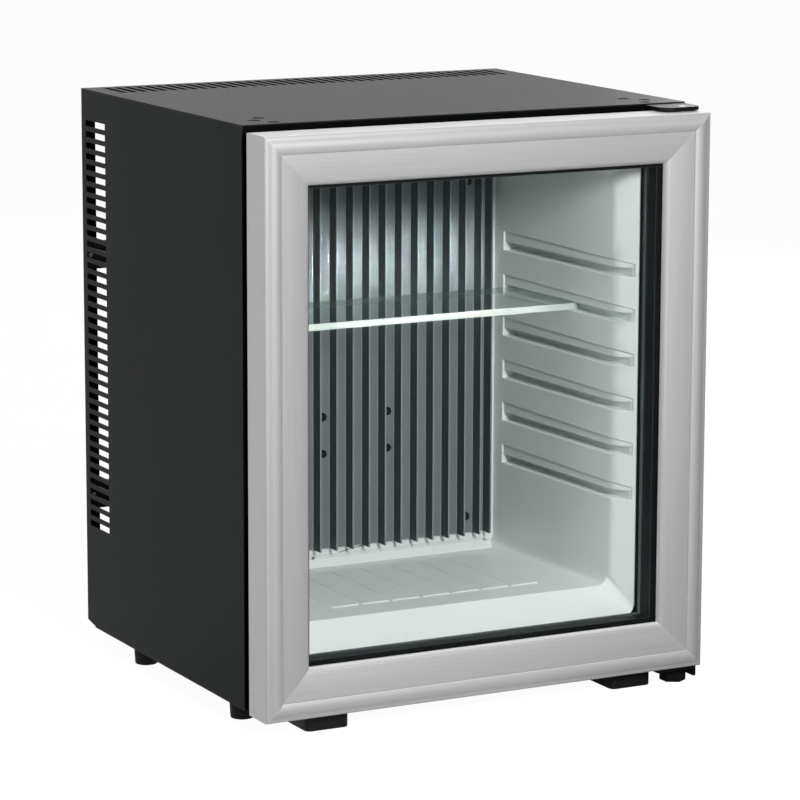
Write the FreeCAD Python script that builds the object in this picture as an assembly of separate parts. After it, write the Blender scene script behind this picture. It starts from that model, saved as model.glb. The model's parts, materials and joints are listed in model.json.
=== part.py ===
"""Minibar fridge with a framed glass door, cooled by a silent absorption unit.

Millimetres. The origin is on the floor under the middle of the fridge.
+X is to the right of the door, +Y to the back and +Z up.
"""
import FreeCAD, Part
import math
import os

# Whole fridge
overall_width = 400.0
overall_depth = 360.0
overall_height = 480.0
sheet = 1.0
overrun = 5.0
running_gap = 0.3
pin_gap = 0.05
screw_radius = 2.0
screw_head_radius = 3.6
screw_head_height = 1.5

# Door and the seal between it and the cabinet
door_depth = 33.0
door_gap = 9.0
door_top_drop = 5.0
door_bottom_drop = 1.5

# Feet
foot_height = 16.0
foot_top_radius = 10.5
foot_bottom_radius = 9.5
foot_side_inset = 15.5
foot_front_inset = 37.0
foot_back_inset = 89.5
foot_recess_radius = 4.5
foot_recess_height = 4.0
foot_screw_length = 22.0
block_width = 38.0
block_foot_gap = 15.0
block_front_height = 12.0
block_front_reach = 28.0
block_length_under_base = 40.0
block_nose_radius = 5.0

# Side and top sheets
return_flange = 12.0
base_heel_run = 16.0
base_heel_rise = 3.0
slot_pitch = 9.3
slot_width = 5.2
side_slot_length = 41.0
side_slot_back_inset = 8.5
side_slot_count = 38
side_slot_top_inset = 28.4
top_slot_length = 42.0
top_slot_count = 40

# Cavity: the mouth, the end of its flare and the back wall
liner_skin = 1.5
mouth_side_inset = 42.0
mouth_lift = 38.0
mouth_top_inset = 41.0
flare_depth = 22.0
flare_side_run = 13.0
flare_sill_rise = 22.0
flare_top_drop = 14.0
cavity_depth = 203.0
wall_taper = 8.0
ceiling_taper = 5.0
cavity_corner = 9.0
collar_depth = 4.0
collar_gap = 0.1

# Shelf guides in the side walls
guide_count = 6
guide_lift = 74.5
guide_pitch = 37.35
guide_slot_height = 6.8
guide_mouth_inset = 2.5
guide_taper = 4.5
guide_front_inset = 3.0
guide_back_inset = 14.0
guide_recess = 1.6
recess_front_height = 10.5
recess_throat_height = 13.5
recess_back_height = 16.0

# Raised pads on the cavity floor
pad_count = 7
pad_pitch = 28.0
pad_width = 24.5
pad_front_inset = 53.0
pad_length = 112.0
pad_rise = 1.0

# Glass shelf
guides_under_shelf_count = 4
shelf_front_inset = 80.0
shelf_depth = 102.0
shelf_thickness = 6.0
shelf_corner = 4.0
shelf_side_gap = 0.6

# Cold plate with its fins
plate_side_gap = 10.0
plate_thickness = 2.0
plate_bottom_gap = 12.0
plate_top_gap = 8.0
fin_depth = 13.0
fin_thickness = 1.5
fin_count = 16
fin_edge_inset = 11.0
clamp_bay = 2
corner_bay = 7
clamp_half_gap = 16.0
corner_screw_inset = 15.0
plate_screw_radius = 1.8
plate_screw_head = 2.0
plate_screw_length = 14.0

# Drip gutter under the fins
gutter_depth = 17.0
gutter_height = 7.0
gutter_front_height = 6.0
gutter_slope_run = 4.0
gutter_wall = 2.0
gutter_floor = 2.0
gutter_drain_place = -40.0
drain_radius = 2.5
drain_bore = 1.7
drain_rise = 4.6

# Insulation and the rear wall
foam_back_gap = 58.5
evaporator_half_width = 40.0
evaporator_half_height = 24.0
evaporator_depth = 20.0
plug_margin = 8.0

# Absorption unit behind the rear wall
tube_radius = 5.0
unit_plane_gap = 25.0
coil_plane_gap = 38.0
coil_radius = 5.5
coil_left = -168.0
coil_right = 96.0
coil_low = 130.0
coil_pitch = 52.0
coil_runs = 5
tube_bend = 18.0
tank_radius = 22.0
tank_height = 42.0
tank_left = -80.0
tank_right = 90.0
tank_edge = 3.0
boiler_place = 150.0
jacket_radius = 23.0
jacket_low = 70.0
jacket_high = 290.0
jacket_wall = 1.0
boiler_radius = 8.0
boiler_overhang = 10.0
heater_radius = 4.5
heater_length = 80.0
heater_lift = 12.0
condenser_top_inset = 68.0
condenser_left = -150.0
fin_plate_width = 32.0
fin_plate_height = 36.0
fin_plate_pitch = 9.0
fin_plate_count = 26
fin_plate_left = -130.0
evaporator_leg_half_gap = 14.0
evaporator_tube_height = 187.0
feed_drop = 74.0
return_radius = 7.0
return_bend = 16.0
exchanger_radius = 7.0
exchanger_drop = 11.0
exchanger_bend = 14.0
weak_radius = 3.5
weak_place = 112.0
weak_bend = 6.0
cup_left = -65.0
cup_right = -15.0
cup_depth = 34.0
cup_height = 12.0
cup_wall = 1.5
drain_reach = 19.0

# Bars that carry the unit
bar_height = 24.0
bar_thickness = 2.0
clip_width = 10.0
clip_half_height = 7.0
clip_places = (-110.0, -10.0, 70.0)
bar_screw_inset = 6.0

# Control box, knob and mains inlet
box_left = -156.0
box_right = -92.0
box_low = 54.0
box_high = 116.0
box_depth = 44.0
box_wall = 2.0
box_corner = 3.0
lid_thickness = 2.5
knob_radius = 13.0
knob_height = 8.5
knob_place = 92.0
knob_grip = 3.0
knob_grip_count = 12
knob_shaft_radius = 3.0
knob_shaft_length = 14.0
gland_place = 67.0
gland_radius = 8.0
gland_bore = 3.6
gland_length = 8.0
gland_nut_length = 5.0
lead_radius = 2.5
lead_height = 104.0
lead_plane_gap = 7.0
lead_clip_places = (-60.0, 40.0, 100.0)
lead_clip_half = 5.0
sensor_radius = 1.5
sensor_place = -112.0
sensor_height = 230.0
sensor_plane_gap = 9.0
sensor_bend = 6.0

# Door frame section: u runs inwards from the outer edge, w back from the front
frame_wall = 2.0
edge_shoulder = 3.4
edge_round_u = 1.6
edge_round_w = 1.8
edge_round_mid = 0.5
edge_round_mid_w = 2.3
bead_start = 3.4
bead_end = 14.2
bead_end_w = 1.5
step_w = 2.6
face_start = 15.2
face_start_w = 1.9
face_mid = 26.0
face_mid_w = 2.7
face_end = 36.0
face_end_w = 4.6
lip_mid = 38.7
lip_mid_w = 6.0
lip_end = 40.0
lip_end_w = 8.2
glass_seat = 10.0
lip_back = 37.5

# Glazing
pane_thickness = 4.0
pane_edge = 24.0
spacer_depth = 12.0
spacer_outer = 29.0
sight_edge = 43.5
spacer_seal_edge = 25.0

# Inner door frame, gasket and magnets
rib_outer = 20.0
rib_front = 12.0
gasket_outer = 18.0
gasket_inner = 38.0
gasket_channel_outer = 24.0
gasket_channel_inner = 32.0
gasket_channel_depth = 5.0
magnet_depth = 3.5
key_leg = 60.0
key_front = 10.5
key_back = 27.0

# Hinges
axis_side_inset = 16.0
axis_depth_inset = 20.5
pin_radius = 3.0
bush_radius = 5.0
bush_length = 14.0
pin_reach = 12.5
plate_steel = 3.0
plate_width = 38.0
plate_front_reach = 30.0
plate_back_reach = 52.0
plate_corner = 10.0
top_screw_places = ((23.0, 26.0), (34.0, 41.0), (32.0, 10.0))
top_head_radius = 4.7
top_head_gap = 0.2
top_head_height = 0.8
top_screw_length = 6.0
bracket_width = 37.5
bracket_side_inset = 2.0
bracket_back_reach = 25.0
bracket_front_reach = 36.0
bracket_drop = 2.2
hook_length = 14.0
hook_drop = 6.0
bracket_screw_insets = (32.0, 10.0)
nut_corner_radius = 11.0
nut_height = 9.0
nut_sides = 6
door_plug_radius = 3.75
door_plug_height = 53.0
door_plug_inset = 15.0
door_plug_proud = 0.4

# Planes that the sizes above give
half_width = overall_width / 2
door_front = -overall_depth / 2
door_back = door_front + door_depth
cabinet_front = door_back + door_gap
cabinet_back = overall_depth / 2 - screw_head_height
base_top = foot_height + sheet
top_low = overall_height - sheet
inner_half = half_width - sheet
foam_front = cabinet_front + collar_depth
foam_back = cabinet_back - foam_back_gap
wall_back = foam_back + sheet
cavity_back = cabinet_front + cavity_depth
block_inner_edge = half_width - foot_side_inset - foot_top_radius - block_foot_gap - block_width
bracket_inner_edge = half_width - bracket_side_inset - bracket_width
mouth_half_width = half_width - mouth_side_inset
mouth_bottom = foot_height + mouth_lift
mouth_top = overall_height - mouth_top_inset
throat_half_width = mouth_half_width - flare_side_run
throat_top = mouth_top - flare_top_drop
floor_height = mouth_bottom + flare_sill_rise
back_half_width = throat_half_width - wall_taper
back_top = throat_top - ceiling_taper
guide_first = floor_height + guide_lift
guide_front_half_width = mouth_half_width - guide_mouth_inset
guide_back_half_width = guide_front_half_width - guide_taper
plate_half_width = back_half_width - plate_side_gap
fin_span = 2 * (plate_half_width - fin_edge_inset)
evaporator_low = evaporator_tube_height - evaporator_half_height
evaporator_high = evaporator_tube_height + evaporator_half_height
condenser_height = overall_height - condenser_top_inset
feed_height = condenser_height - feed_drop
door_top = overall_height - door_top_drop
door_bottom = foot_height - door_bottom_drop
unit_plane = wall_back + unit_plane_gap
coil_plane = wall_back + coil_plane_gap
flange_inner = cabinet_back - sheet
axis_x = half_width - axis_side_inset
axis_y = door_front + axis_depth_inset
plate_low = top_low - plate_steel
bracket_top = foot_height - bracket_drop
plate_bottom = floor_height + plate_bottom_gap
plate_top = back_top - plate_top_gap
plate_front = cavity_back - plate_thickness
fin_pitch = fin_span / (fin_count - 1)
liner_back = cavity_back + liner_skin


def vector(point):
    return FreeCAD.Vector(*point)


def block(low, high):
    """A box between its lowest and its highest corner."""
    size = vector(high) - vector(low)
    return Part.makeBox(size.x, size.y, size.z, vector(low))


def rod(start, end, radius):
    """A round bar between two points."""
    line = vector(end) - vector(start)
    return Part.makeCylinder(radius, line.Length, vector(start), line)


def prism(points, push):
    """A flat outline pushed along a vector."""
    corners = [vector(point) for point in points]
    outline = Part.makePolygon(corners + corners[:1])
    return Part.Face(outline).extrude(vector(push))


def bent_path(points, bend):
    """Straight runs through the points, with a tangent arc at each corner."""
    corners = [vector(point) for point in points]
    edges = []
    reached = corners[0]
    for before, corner, after in zip(corners, corners[1:], corners[2:]):
        towards = (corner - before).normalize()
        onwards = (after - corner).normalize()
        half_turn = towards.getAngle(onwards) / 2
        setback = bend * math.tan(half_turn)
        start = corner - towards * setback
        end = corner + onwards * setback
        inwards = (onwards - towards).normalize()
        middle = corner + inwards * (bend / math.cos(half_turn) - bend)
        edges.append(Part.LineSegment(reached, start).toShape())
        edges.append(Part.Arc(start, middle, end).toShape())
        reached = end
    edges.append(Part.LineSegment(reached, corners[-1]).toShape())
    return Part.Wire(edges)


def tube(points, radius, bend):
    """A round tube, as a solid, along a bent path."""
    path = bent_path(points, bend)
    start = vector(points[0])
    section = Part.Wire(Part.makeCircle(radius, start, vector(points[1]) - start))
    return path.makePipeShell([section], True, False)


def pipe(points, radius, bore, bend):
    return tube(points, radius, bend).cut(tube(points, bore, bend))


def mirrored(shape):
    return shape.mirror(vector((0, 0, 0)), vector((1, 0, 0)))


def both_sides(shape):
    return [shape, mirrored(shape)]


def fused(solids):
    return solids[0].multiFuse(solids[1:]).removeSplitter()


def cut_all(shape, tools):
    return shape.cut(Part.makeCompound(tools))


def save(name, shape):
    shape.exportStep("parts/" + name + ".step")


def save_group(name, solids):
    save(name, Part.makeCompound(solids))


def side_panel():
    """Right side sheet with its rear flange, vent slots and cut-back heel."""
    heel = cabinet_back - base_heel_run
    outline = [
        (inner_half, cabinet_front, base_top),
        (inner_half, heel, base_top),
        (inner_half, cabinet_back, base_top + base_heel_rise),
        (inner_half, cabinet_back, top_low),
        (inner_half, cabinet_front, top_low),
    ]
    flange = block(
        (half_width - return_flange, flange_inner, base_top + base_heel_rise),
        (half_width, cabinet_back, top_low),
    )
    panel = fused([prism(outline, (sheet, 0, 0)), flange])
    slot_back = cabinet_back - side_slot_back_inset
    slots = []
    for number in range(side_slot_count):
        middle = overall_height - side_slot_top_inset - number * slot_pitch
        low = (inner_half - overrun, slot_back - side_slot_length, middle - slot_width / 2)
        high = (half_width + overrun, slot_back, middle + slot_width / 2)
        slots.append(block(low, high))
    screws = [rod((x, cabinet_back + overrun, z), (x, flange_inner - overrun, z), screw_radius)
              for x, z in bar_screw_points() if x > 0]
    return cut_all(panel, slots + screws)


def top_screw_points():
    return [(half_width - across, cabinet_front + back) for across, back in top_screw_places]


def top_panel():
    """Top sheet with its row of vents, rear flange and screw holes at both front corners."""
    plate = block((-half_width, cabinet_front, top_low), (half_width, cabinet_back, overall_height))
    reach = half_width - return_flange
    flange = block((-reach, flange_inner, top_low - return_flange), (reach, cabinet_back, top_low))
    slot_back = cabinet_back - side_slot_back_inset
    first = -slot_pitch * (top_slot_count - 1) / 2
    cuts = []
    for number in range(top_slot_count):
        middle = first + number * slot_pitch
        low = (middle - slot_width / 2, slot_back - top_slot_length, top_low - overrun)
        high = (middle + slot_width / 2, slot_back, overall_height + overrun)
        cuts.append(block(low, high))
    radius = top_head_radius + top_head_gap
    for x, y in top_screw_points():
        cuts += both_sides(rod((x, y, top_low - overrun), (x, y, overall_height + overrun), radius))
    return cut_all(fused([plate, flange]), cuts)


def top_screws():
    """Countersunk screws of the upper hinge, heads just under the top face."""
    screws = []
    for x, y in top_screw_points():
        head = rod((x, y, top_low), (x, y, top_low + top_head_height), top_head_radius)
        shank = rod((x, y, top_low - top_screw_length), (x, y, top_low), screw_radius)
        screws.append(fused([head, shank]))
    return screws


def base_screw_points():
    """Places, from below, of every screw that goes up into the base."""
    side = half_width - foot_side_inset
    front = cabinet_front + foot_front_inset
    back = cabinet_back - foot_back_inset
    feet = [(x, y) for x in (-side, side) for y in (front, back)]
    middle = block_inner_edge + block_width / 2
    blocks = [(x, cabinet_front + block_length_under_base / 2) for x in (-middle, middle)]
    bracket = [(half_width - inset, cabinet_front + bracket_back_reach / 2) for inset in bracket_screw_insets]
    return feet, blocks, bracket


def base_screw(place, head_low):
    x, y = place
    top = head_low + foot_screw_length
    head = rod((x, y, head_low), (x, y, head_low + screw_head_height), screw_head_radius)
    return fused([head, rod((x, y, head_low), (x, y, top), screw_radius)])


def base_shanks():
    """Clearance for every screw in the base, as cutters."""
    feet, blocks, bracket = base_screw_points()
    top = foot_recess_height + foot_screw_length
    shanks = [rod((x, y, 0), (x, y, top), screw_radius) for x, y in feet + blocks]
    low = foot_height - plate_steel - screw_head_height
    shanks += [rod((x, y, low), (x, y, low + foot_screw_length), screw_radius) for x, y in bracket]
    return shanks


def base_panel():
    low = (-half_width, cabinet_front, foot_height)
    plate = block(low, (half_width, cabinet_back - base_heel_run, base_top))
    return cut_all(plate, base_shanks())


def round_feet():
    feet, _, _ = base_screw_points()
    solids = []
    for x, y in feet:
        foot = Part.makeCone(foot_bottom_radius, foot_top_radius, foot_height, vector((x, y, 0)))
        recess = rod((x, y, -overrun), (x, y, foot_recess_height + screw_head_height), foot_recess_radius)
        shank = rod((x, y, 0), (x, y, foot_height + overrun), screw_radius)
        solids.append(cut_all(foot, [recess, shank]))
    return solids


def stabiliser_block():
    """Front foot block on the right, which reaches out under the door."""
    front = cabinet_front - block_front_reach
    back = cabinet_front + block_length_under_base
    outline = [
        (block_inner_edge, front, 0),
        (block_inner_edge, back, 0),
        (block_inner_edge, back, foot_height),
        (block_inner_edge, cabinet_front, foot_height),
        (block_inner_edge, cabinet_front, block_front_height),
        (block_inner_edge, front, block_front_height),
    ]
    solid = prism(outline, (block_width, 0, 0))
    corners = [edge for edge in solid.Edges
               if edge.BoundBox.ZLength > block_nose_radius and edge.BoundBox.YMax < front + running_gap]
    solid = solid.makeFillet(block_nose_radius, corners)
    _, blocks, _ = base_screw_points()
    x, y = blocks[1]
    recess = rod((x, y, -overrun), (x, y, foot_recess_height + screw_head_height), foot_recess_radius)
    shank = rod((x, y, 0), (x, y, foot_height + overrun), screw_radius)
    return cut_all(solid, [recess, shank])


def rounded_outline(half, low, high, y, radius):
    """Upright rounded rectangle at one depth, as a wire."""
    corners = [
        (half - radius, low + radius, -math.pi / 2),
        (half - radius, high - radius, 0),
        (-half + radius, high - radius, math.pi / 2),
        (-half + radius, low + radius, math.pi),
    ]
    edges = []
    ends = []
    for x, z, turn in corners:
        points = []
        for angle in (turn, turn + math.pi / 4, turn + math.pi / 2):
            points.append(vector((x + radius * math.cos(angle), y, z + radius * math.sin(angle))))
        ends.append((points[0], points[-1]))
        edges.append(Part.Arc(*points).toShape())
    wire = []
    for number, edge in enumerate(edges):
        following = ends[(number + 1) % len(ends)]
        wire.append(edge)
        wire.append(Part.LineSegment(ends[number][1], following[0]).toShape())
    return Part.Wire(wire)


def guide_recess_space(low, skin):
    """Shallow recess round and above one guide slot, which narrows towards the mouth."""
    rear = cavity_back - guide_back_inset
    narrowing = wall_taper * guide_back_inset / (cavity_depth - flare_depth)
    front_half = mouth_half_width - flare_side_run * guide_front_inset / flare_depth
    sections = []
    for half, height, y in (
        (front_half, recess_front_height, cabinet_front + guide_front_inset - skin),
        (throat_half_width, recess_throat_height, cabinet_front + flare_depth),
        (back_half_width + narrowing, recess_back_height, rear + skin),
    ):
        wide = half + guide_recess + skin
        high = low + height + skin * 2
        corners = [(-wide, y, low), (wide, y, low), (wide, y, high), (-wide, y, high), (-wide, y, low)]
        sections.append(Part.makePolygon([vector(corner) for corner in corners]))
    return Part.makeLoft(sections, True, True)


def cavity(skin, front_run):
    """The space inside the liner, grown by the skin. front_run lengthens it out of the mouth."""
    radius = cavity_corner + skin
    mouth = (mouth_half_width + skin, mouth_bottom - skin, mouth_top + skin)
    throat = (throat_half_width + skin, floor_height - skin, throat_top + skin)
    back = (back_half_width + skin, floor_height - skin, back_top + skin)
    sections = [
        rounded_outline(*mouth, cabinet_front, radius),
        rounded_outline(*throat, cabinet_front + flare_depth, radius),
        rounded_outline(*back, cavity_back + skin, radius),
    ]
    solids = [Part.makeLoft(sections[:2], True, True), Part.makeLoft(sections[1:], True, True)]
    if front_run > 0:
        outlet = rounded_outline(*mouth, cabinet_front - front_run, radius)
        solids.append(Part.makeLoft([outlet, sections[0]], True, True))
    for number in range(guide_count):
        low = guide_first + number * guide_pitch - skin
        front = cabinet_front + guide_front_inset
        rear = cavity_back - guide_back_inset + skin
        solids.append(guide_recess_space(low, skin))
        outline = [
            (-guide_front_half_width - skin, front, low),
            (guide_front_half_width + skin, front, low),
            (guide_back_half_width + skin, rear, low),
            (-guide_back_half_width - skin, rear, low),
        ]
        solids.append(prism(outline, (0, 0, guide_slot_height + skin * 2)))
    return fused(solids)


def floor_pads():
    """Raised pads that drain the cavity floor between them."""
    first = -pad_pitch * (pad_count - 1) / 2
    front = cabinet_front + pad_front_inset
    pads = []
    for number in range(pad_count):
        middle = first + number * pad_pitch
        low = (middle - pad_width / 2, front, floor_height - liner_skin / 2)
        high = (middle + pad_width / 2, front + pad_length, floor_height + pad_rise)
        pads.append(block(low, high))
    return pads


def plate_screw_points():
    """Screws through the cold plate: four clamp the evaporator, four hold the corners."""
    clamp = fin_pitch * clamp_bay
    corner = fin_pitch * corner_bay
    clamp_heights = (evaporator_tube_height - clamp_half_gap, evaporator_tube_height + clamp_half_gap)
    corner_heights = (plate_bottom + corner_screw_inset, plate_top - corner_screw_inset)
    clamps = [(x, z) for x in (-clamp, clamp) for z in clamp_heights]
    corners = [(x, z) for x in (-corner, corner) for z in corner_heights]
    return clamps + corners


def plate_screw_shanks():
    end = plate_front + plate_screw_length
    return [rod((x, plate_front, z), (x, end, z), plate_screw_radius) for x, z in plate_screw_points()]


def drain_points():
    height = floor_height + drain_rise
    start = cavity_back - gutter_wall
    end = wall_back + drain_reach
    return [
        (gutter_drain_place, start, height),
        (gutter_drain_place, end, height),
        (gutter_drain_place, end, tank_height + tank_radius + cup_wall + drain_rise),
    ]


def drain_cutter():
    start, end, _ = drain_points()
    return rod(start, end, drain_radius)


def sensor_points():
    plane = wall_back + sensor_plane_gap
    return [
        (sensor_place, plane, box_high),
        (sensor_place, plane, sensor_height),
        (sensor_place, liner_back, sensor_height),
    ]


def sensor_cutter():
    _, corner, end = sensor_points()
    return rod(corner, end, sensor_radius)


def inner_liner():
    shell = cavity(liner_skin, 0).cut(cavity(0, overrun))
    shell = fused([shell] + floor_pads())
    return cut_all(shell, plate_screw_shanks() + [drain_cutter()])


def front_collar():
    """Black collar between the sheets and the liner, notched for the upper hinge."""
    ring = block((-inner_half, cabinet_front, base_top), (inner_half, foam_front, top_low))
    skin = liner_skin + collar_gap
    outlines = []
    for y in (cabinet_front - overrun, foam_front + overrun):
        size = (mouth_half_width + skin, mouth_bottom - skin, mouth_top + skin)
        outlines.append(rounded_outline(*size, y, cavity_corner + skin))
    notch = block(
        (half_width - plate_width, cabinet_front - overrun, plate_low),
        (half_width + overrun, foam_front + overrun, top_low + overrun),
    )
    return cut_all(ring, [Part.makeLoft(outlines, True, True), notch])


def hinge_plate_upper():
    """Steel plate under the top sheet that carries the upper pin in front of it."""
    left = half_width - plate_width
    low = (left, cabinet_front - plate_front_reach, plate_low)
    high = (half_width - sheet, cabinet_front + plate_back_reach, top_low)
    plate = block(low, high)
    corners = [edge for edge in plate.Edges
               if edge.BoundBox.ZLength > plate_steel / 2 and edge.BoundBox.YMax < cabinet_front]
    plate = plate.makeFillet(plate_corner, corners)
    holes = [rod((x, y, plate_low - overrun), (x, y, top_low + overrun), screw_radius)
             for x, y in top_screw_points()]
    pin = rod((axis_x, axis_y, plate_low - overrun), (axis_x, axis_y, top_low + overrun), pin_radius)
    return cut_all(plate, holes + [pin])


def hinge_pins():
    """Upper and lower hinge pins, each fixed in its plate."""
    upper = rod((axis_x, axis_y, door_top - pin_reach), (axis_x, axis_y, top_low), pin_radius)
    low = bracket_top - plate_steel
    return [upper, rod((axis_x, axis_y, low), (axis_x, axis_y, door_bottom + pin_reach), pin_radius)]


def hinge_bracket_lower():
    """Steel bracket under the base that steps down to clear the door, with a hooked corner."""
    front = cabinet_front - bracket_front_reach
    back = cabinet_front + bracket_back_reach
    outline = [
        (bracket_inner_edge, front, bracket_top - plate_steel),
        (bracket_inner_edge, cabinet_front, bracket_top - plate_steel),
        (bracket_inner_edge, cabinet_front + bracket_drop, foot_height - plate_steel),
        (bracket_inner_edge, back, foot_height - plate_steel),
        (bracket_inner_edge, back, foot_height),
        (bracket_inner_edge, cabinet_front, foot_height),
        (bracket_inner_edge, cabinet_front, bracket_top),
        (bracket_inner_edge, front, bracket_top),
    ]
    arm = prism(outline, (bracket_width, 0, 0))
    edge = half_width - bracket_side_inset
    low = (edge - plate_steel, front, bracket_top - plate_steel - hook_drop)
    hook = block(low, (edge, front + hook_length, bracket_top))
    pin = rod((axis_x, axis_y, 0), (axis_x, axis_y, foot_height), pin_radius)
    return cut_all(fused([arm, hook]), base_shanks() + [pin])


def levelling_nut():
    """Hexagonal foot under the lower hinge, with its stud up to the bracket."""
    corners = []
    for number in range(nut_sides):
        angle = math.pi * 2 * number / nut_sides
        x = axis_x + nut_corner_radius * math.sin(angle)
        corners.append((x, axis_y + nut_corner_radius * math.cos(angle), 0))
    stud = rod((axis_x, axis_y, 0), (axis_x, axis_y, bracket_top - plate_steel), pin_radius)
    return fused([prism(corners, (0, 0, nut_height)), stud])


def evaporator_block():
    low = (-evaporator_half_width, liner_back, evaporator_low)
    high = (evaporator_half_width, liner_back + evaporator_depth, evaporator_high)
    return cut_all(block(low, high), plate_screw_shanks())


def plug_space():
    """Window through the insulation that the evaporator and its plug fill."""
    low = (-evaporator_half_width - plug_margin, liner_back, evaporator_low - plug_margin)
    high = (evaporator_half_width + plug_margin, wall_back, evaporator_high + plug_margin)
    return block(low, high)


def condenser_tube():
    """One tube from the boiler's top through the condenser fins and down to the evaporator."""
    leg = -evaporator_leg_half_gap
    points = [
        (boiler_place, unit_plane, jacket_high + boiler_overhang),
        (boiler_place, unit_plane, condenser_height),
        (condenser_left, unit_plane, condenser_height),
        (condenser_left, unit_plane, feed_height),
        (leg, unit_plane, feed_height),
        (leg, unit_plane, evaporator_tube_height),
        (leg, liner_back + evaporator_depth, evaporator_tube_height),
    ]
    return tube(points, tube_radius, tube_bend)


def return_points():
    leg = evaporator_leg_half_gap
    return [
        (leg, liner_back + evaporator_depth, evaporator_tube_height),
        (leg, unit_plane, evaporator_tube_height),
        (leg, unit_plane, tank_height),
    ]


def evaporator_return_tube():
    return tube(return_points(), return_radius, return_bend).cut(absorber_tank())


def evaporator_plug():
    solid = cut_all(plug_space(), [evaporator_block(), condenser_tube(), evaporator_return_tube()])
    return cut_all(solid, plate_screw_shanks())


def insulation_foam():
    """Foam between the sheets and the liner, with the pockets that other pieces fill."""
    low = (-inner_half, foam_front, base_top)
    body = block(low, (inner_half, foam_back, top_low))
    pocket = block(
        (half_width - plate_width, foam_front - overrun, plate_low),
        (half_width, cabinet_front + plate_back_reach, top_low + overrun),
    )
    pockets = [cavity(liner_skin, 0), pocket, plug_space(), drain_cutter(), sensor_cutter()]
    return cut_all(body, pockets + base_shanks() + plate_screw_shanks() + top_shanks())


def top_shanks():
    shanks = []
    for x, y in top_screw_points():
        shanks += both_sides(rod((x, y, top_low - top_screw_length), (x, y, top_low), screw_radius))
    return shanks


def rear_wall():
    low = (-inner_half, foam_back, base_top)
    plate = block(low, (inner_half, wall_back, top_low))
    return cut_all(plate, [plug_space(), drain_cutter(), sensor_cutter()])


def cold_plate():
    """Finned aluminium plate on the cavity's back wall."""
    low = (-plate_half_width, plate_front, plate_bottom)
    solids = [block(low, (plate_half_width, cavity_back, plate_top))]
    places = [fin_pitch * number - fin_span / 2 for number in range(fin_count)]
    edge = plate_half_width - fin_thickness / 2
    for middle in places + [-edge, edge]:
        low = (middle - fin_thickness / 2, plate_front - fin_depth, plate_bottom)
        solids.append(block(low, (middle + fin_thickness / 2, plate_front, plate_top)))
    return cut_all(fused(solids), plate_screw_shanks())


def cold_plate_screws():
    screws = []
    for (x, z), shank in zip(plate_screw_points(), plate_screw_shanks()):
        head = rod((x, plate_front - plate_screw_head, z), (x, plate_front, z), screw_head_radius)
        screws.append(fused([head, shank]))
    return screws


def drip_gutter():
    """Trough on the cavity floor that catches what drips off the fins."""
    left = -plate_half_width
    front = cavity_back - gutter_depth
    outline = [
        (left, front, floor_height),
        (left, cavity_back, floor_height),
        (left, cavity_back, floor_height + gutter_height),
        (left, cavity_back - gutter_wall, floor_height + gutter_height),
        (left, cavity_back - gutter_wall, floor_height + gutter_floor),
        (left, front + gutter_slope_run + gutter_wall, floor_height + gutter_floor),
        (left, front + gutter_slope_run, floor_height + gutter_front_height),
    ]
    trough = prism(outline, (plate_half_width * 2, 0, 0))
    end_low = (left, front + gutter_slope_run, floor_height)
    end_high = (left + gutter_wall, cavity_back, floor_height + gutter_front_height)
    ends = both_sides(block(end_low, end_high))
    return cut_all(fused([trough] + ends), [drain_cutter()])


def drain_tube():
    return pipe(drain_points(), drain_radius, drain_bore, drain_radius * 2)


def glass_shelf():
    low_guide = guide_first + guides_under_shelf_count * guide_pitch
    front = cabinet_front + shelf_front_inset
    back = front + shelf_depth
    share_back = (back - cabinet_front - guide_front_inset)
    share_back /= cavity_depth - guide_front_inset - guide_back_inset
    narrowing = guide_front_half_width - guide_back_half_width
    half = guide_front_half_width - narrowing * share_back - shelf_side_gap
    low = low_guide + running_gap
    shelf = block((-half, front, low), (half, back, low + shelf_thickness))
    corners = [edge for edge in shelf.Edges if edge.BoundBox.ZLength > shelf_thickness / 2]
    return shelf.makeFillet(shelf_corner, corners)


def absorber_tank():
    start = (tank_left, unit_plane, tank_height)
    drum = rod(start, (tank_right, unit_plane, tank_height), tank_radius)
    rims = [edge for edge in drum.Edges if edge.Closed]
    return drum.makeFillet(tank_edge, rims)


def coil_run_heights():
    return [coil_low + number * coil_pitch for number in range(coil_runs)]


def absorber_coil():
    """Serpentine cooling tube, from its upper right end down and into the tank."""
    points = []
    ends = (coil_right, coil_left)
    for number, height in enumerate(reversed(coil_run_heights())):
        points.append((ends[number % 2], coil_plane, height))
        points.append((ends[(number + 1) % 2], coil_plane, height))
    points.append((coil_left, coil_plane, tank_height))
    points.append((tank_left, coil_plane, tank_height))
    return tube(points, coil_radius, tube_bend)


def condenser_fins():
    """Cooling fins threaded on the condenser tube."""
    fins = []
    tube_space = condenser_tube()
    for number in range(fin_plate_count):
        left = fin_plate_left + number * fin_plate_pitch
        low = (left, unit_plane - fin_plate_width / 2, condenser_height - fin_plate_height / 2)
        high = (left + sheet, unit_plane + fin_plate_width / 2, condenser_height + fin_plate_height / 2)
        fins.append(block(low, high).cut(tube_space))
    return fins


def boiler_tube():
    low = jacket_low - boiler_overhang
    high = jacket_high + boiler_overhang
    return rod((boiler_place, unit_plane, low), (boiler_place, unit_plane, high), boiler_radius)


def heater_cartridge():
    """Heating element welded beside the boiler tube."""
    x = boiler_place - boiler_radius - heater_radius
    low = jacket_low + heater_lift
    return rod((x, unit_plane, low), (x, unit_plane, low + heater_length), heater_radius)


def boiler_jacket():
    """Sheet can round the boiler, closed at both ends."""
    can = rod((boiler_place, unit_plane, jacket_low), (boiler_place, unit_plane, jacket_high), jacket_radius)
    return cut_all(can, [jacket_space(), boiler_tube(), heater_lead_cutter()])


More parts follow.
